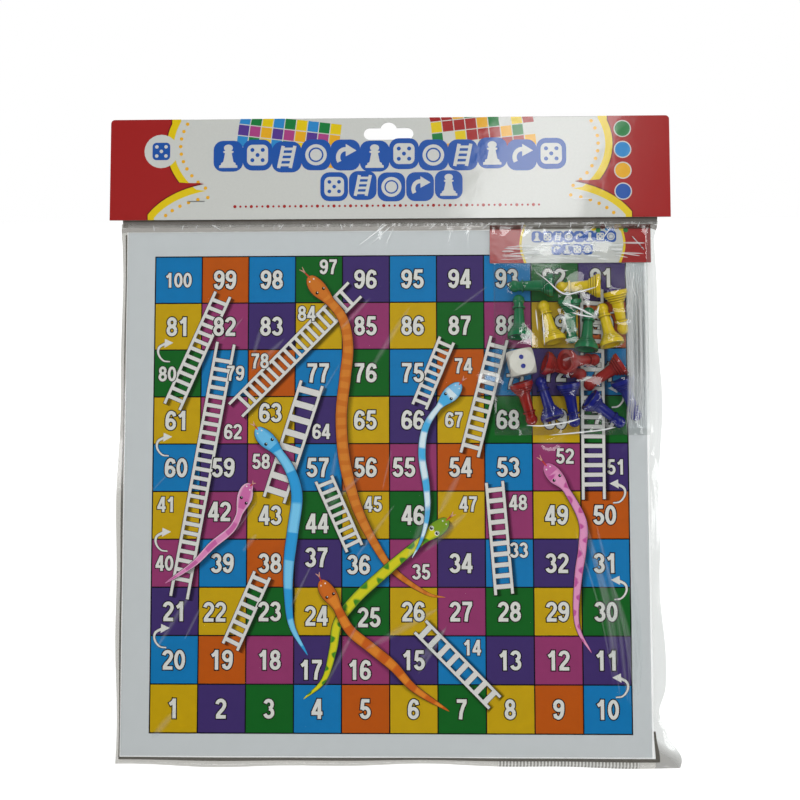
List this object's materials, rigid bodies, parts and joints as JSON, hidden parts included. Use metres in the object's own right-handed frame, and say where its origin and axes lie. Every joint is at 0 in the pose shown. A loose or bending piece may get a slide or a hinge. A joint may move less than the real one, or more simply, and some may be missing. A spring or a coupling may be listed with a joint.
{
  "type": "snakes and ladders board",
  "caption": "Flat square snakes and ladders board in a clear hanging bag with a folded header card, and an inner pouch of loose pawns and a die.",
  "frame": {"origin": "Under the middle of the whole pack, on the surface that it lies on.", "axes": "The pack lies face up. +X runs along the header card, to the right as the numbers read. +Y runs up the board towards the header card. +Z leaves the printed face."},
  "size_m": [0.36, 0.4092, 0.0287],
  "materials": {
    "chipboard": "grey pulp chipboard",
    "printed_paper": "white litho paper, printed and varnished",
    "clear_film": "clear blown film",
    "printed_card": "printed folding card, gloss varnish",
    "staple_steel": "galvanised staple wire",
    "white_plastic": "moulded polystyrene",
    "green_plastic": "moulded polystyrene",
    "yellow_plastic": "moulded polystyrene",
    "red_plastic": "moulded polystyrene",
    "blue_plastic": "moulded polystyrene"
  },
  "bodies": {
    "bag": {"bag_back_film": "clear_film", "bag_front_film": "clear_film", "bag_neck_film": "clear_film"},
    "board": {"board_core": "chipboard", "board_front_sheet": "printed_paper", "board_back_sheet": "printed_paper"},
    "header": {"header_card": "printed_card", "header_staples": "staple_steel", "bag_mouth_film": "clear_film"},
    "pouch": {"pouch_back_film": "clear_film", "pouch_front_film": "clear_film", "pouch_card": "printed_card", "pouch_staple": "staple_steel"},
    "die": {"die": "white_plastic"},
    "pawn_green_1": {"pawn_green_1": "green_plastic"},
    "pawn_green_2": {"pawn_green_2": "green_plastic"},
    "pawn_green_3": {"pawn_green_3": "green_plastic"},
    "pawn_green_4": {"pawn_green_4": "green_plastic"},
    "pawn_yellow_1": {"pawn_yellow_1": "yellow_plastic"},
    "pawn_yellow_2": {"pawn_yellow_2": "yellow_plastic"},
    "pawn_yellow_3": {"pawn_yellow_3": "yellow_plastic"},
    "pawn_yellow_4": {"pawn_yellow_4": "yellow_plastic"},
    "pawn_red_1": {"pawn_red_1": "red_plastic"},
    "pawn_red_2": {"pawn_red_2": "red_plastic"},
    "pawn_red_3": {"pawn_red_3": "red_plastic"},
    "pawn_red_4": {"pawn_red_4": "red_plastic"},
    "pawn_blue_1": {"pawn_blue_1": "blue_plastic"},
    "pawn_blue_2": {"pawn_blue_2": "blue_plastic"},
    "pawn_blue_3": {"pawn_blue_3": "blue_plastic"},
    "pawn_blue_4": {"pawn_blue_4": "blue_plastic"}
  },
  "joints": [
    {"name": "board_slide", "type": "slide", "parent": "bag", "child": "board", "axis": [0, 1, 0], "range_m": [-0.003, 0.003]},
    {"name": "header_fold", "type": "hinge", "parent": "bag", "child": "header", "pos_m": [0, 0.1375, 0.001], "axis": [1, 0, 0], "range_deg": [-100, 100], "deforming": ["bag_neck_film"]},
    {"name": "pouch_slide", "type": "slide", "parent": "bag", "child": "pouch", "axis": [0, 1, 0], "range_m": [-0.012, 0]},
    {"name": "die_spin", "type": "hinge", "parent": "pouch", "child": "die", "pos_m": [0.08325, 0.04435, 0.01125], "axis": [0, 0, 1], "continuous": true},
    {"name": "pawn_green_1_spin", "type": "hinge", "parent": "pouch", "child": "pawn_green_1", "pos_m": [0.08225, 0.06035, 0.01128], "axis": [0, 0.9857, -0.1683], "continuous": true},
    {"name": "pawn_green_2_spin", "type": "hinge", "parent": "pouch", "child": "pawn_green_2", "pos_m": [0.10375, 0.09335, 0.01128], "axis": [-0.9857, 0, -0.1683], "continuous": true},
    {"name": "pawn_green_3_spin", "type": "hinge", "parent": "pouch", "child": "pawn_green_3", "pos_m": [0.12375, 0.05235, 0.01128], "axis": [0.103, 0.9803, -0.1683], "continuous": true},
    {"name": "pawn_green_4_spin", "type": "hinge", "parent": "pouch", "child": "pawn_green_4", "pos_m": [0.11375, 0.08435, 0.01128], "axis": [0.0688, -0.9833, -0.1683], "continuous": true},
    {"name": "pawn_yellow_1_spin", "type": "hinge", "parent": "pouch", "child": "pawn_yellow_1", "pos_m": [0.10425, 0.05735, 0.01128], "axis": [-0.2551, 0.9522, -0.1683], "continuous": true},
    {"name": "pawn_yellow_2_spin", "type": "hinge", "parent": "pouch", "child": "pawn_yellow_2", "pos_m": [0.13325, 0.09285, 0.01128], "axis": [-0.9856, -0.0172, -0.1683], "continuous": true},
    {"name": "pawn_yellow_3_spin", "type": "hinge", "parent": "pouch", "child": "pawn_yellow_3", "pos_m": [0.14025, 0.05535, 0.01128], "axis": [-0.2217, 0.9605, -0.1683], "continuous": true},
    {"name": "pawn_yellow_4_spin", "type": "hinge", "parent": "pouch", "child": "pawn_yellow_4", "pos_m": [0.14225, 0.08935, 0.01128], "axis": [0.2217, -0.9605, -0.1683], "continuous": true},
    {"name": "pawn_red_1_spin", "type": "hinge", "parent": "pouch", "child": "pawn_red_1", "pos_m": [0.08275, 0.03185, 0.01128], "axis": [0.2882, -0.9427, -0.1683], "continuous": true},
    {"name": "pawn_red_2_spin", "type": "hinge", "parent": "pouch", "child": "pawn_red_2", "pos_m": [0.09775, 0.04435, 0.01128], "axis": [0.9427, -0.2882, -0.1683], "continuous": true},
    {"name": "pawn_red_3_spin", "type": "hinge", "parent": "pouch", "child": "pawn_red_3", "pos_m": [0.10975, 0.04385, 0.02145], "axis": [0.8011, 0.1126, -0.5878], "continuous": true},
    {"name": "pawn_red_4_spin", "type": "hinge", "parent": "pouch", "child": "pawn_red_4", "pos_m": [0.14625, 0.04385, 0.01128], "axis": [-0.8267, -0.5369, -0.1683], "continuous": true},
    {"name": "pawn_blue_1_spin", "type": "hinge", "parent": "pouch", "child": "pawn_blue_1", "pos_m": [0.10275, 0.00935, 0.01128], "axis": [-0.2882, 0.9427, -0.1683], "continuous": true},
    {"name": "pawn_blue_2_spin", "type": "hinge", "parent": "pouch", "child": "pawn_blue_2", "pos_m": [0.11225, 0.03135, 0.01128], "axis": [0.1712, -0.9708, -0.1683], "continuous": true},
    {"name": "pawn_blue_3_spin", "type": "hinge", "parent": "pouch", "child": "pawn_blue_3", "pos_m": [0.12525, 0.02135, 0.01128], "axis": [0.7975, -0.5794, -0.1683], "continuous": true},
    {"name": "pawn_blue_4_spin", "type": "hinge", "parent": "pouch", "child": "pawn_blue_4", "pos_m": [0.14575, 0.03385, 0.01128], "axis": [0.3693, -0.914, -0.1683], "continuous": true}
  ]
}
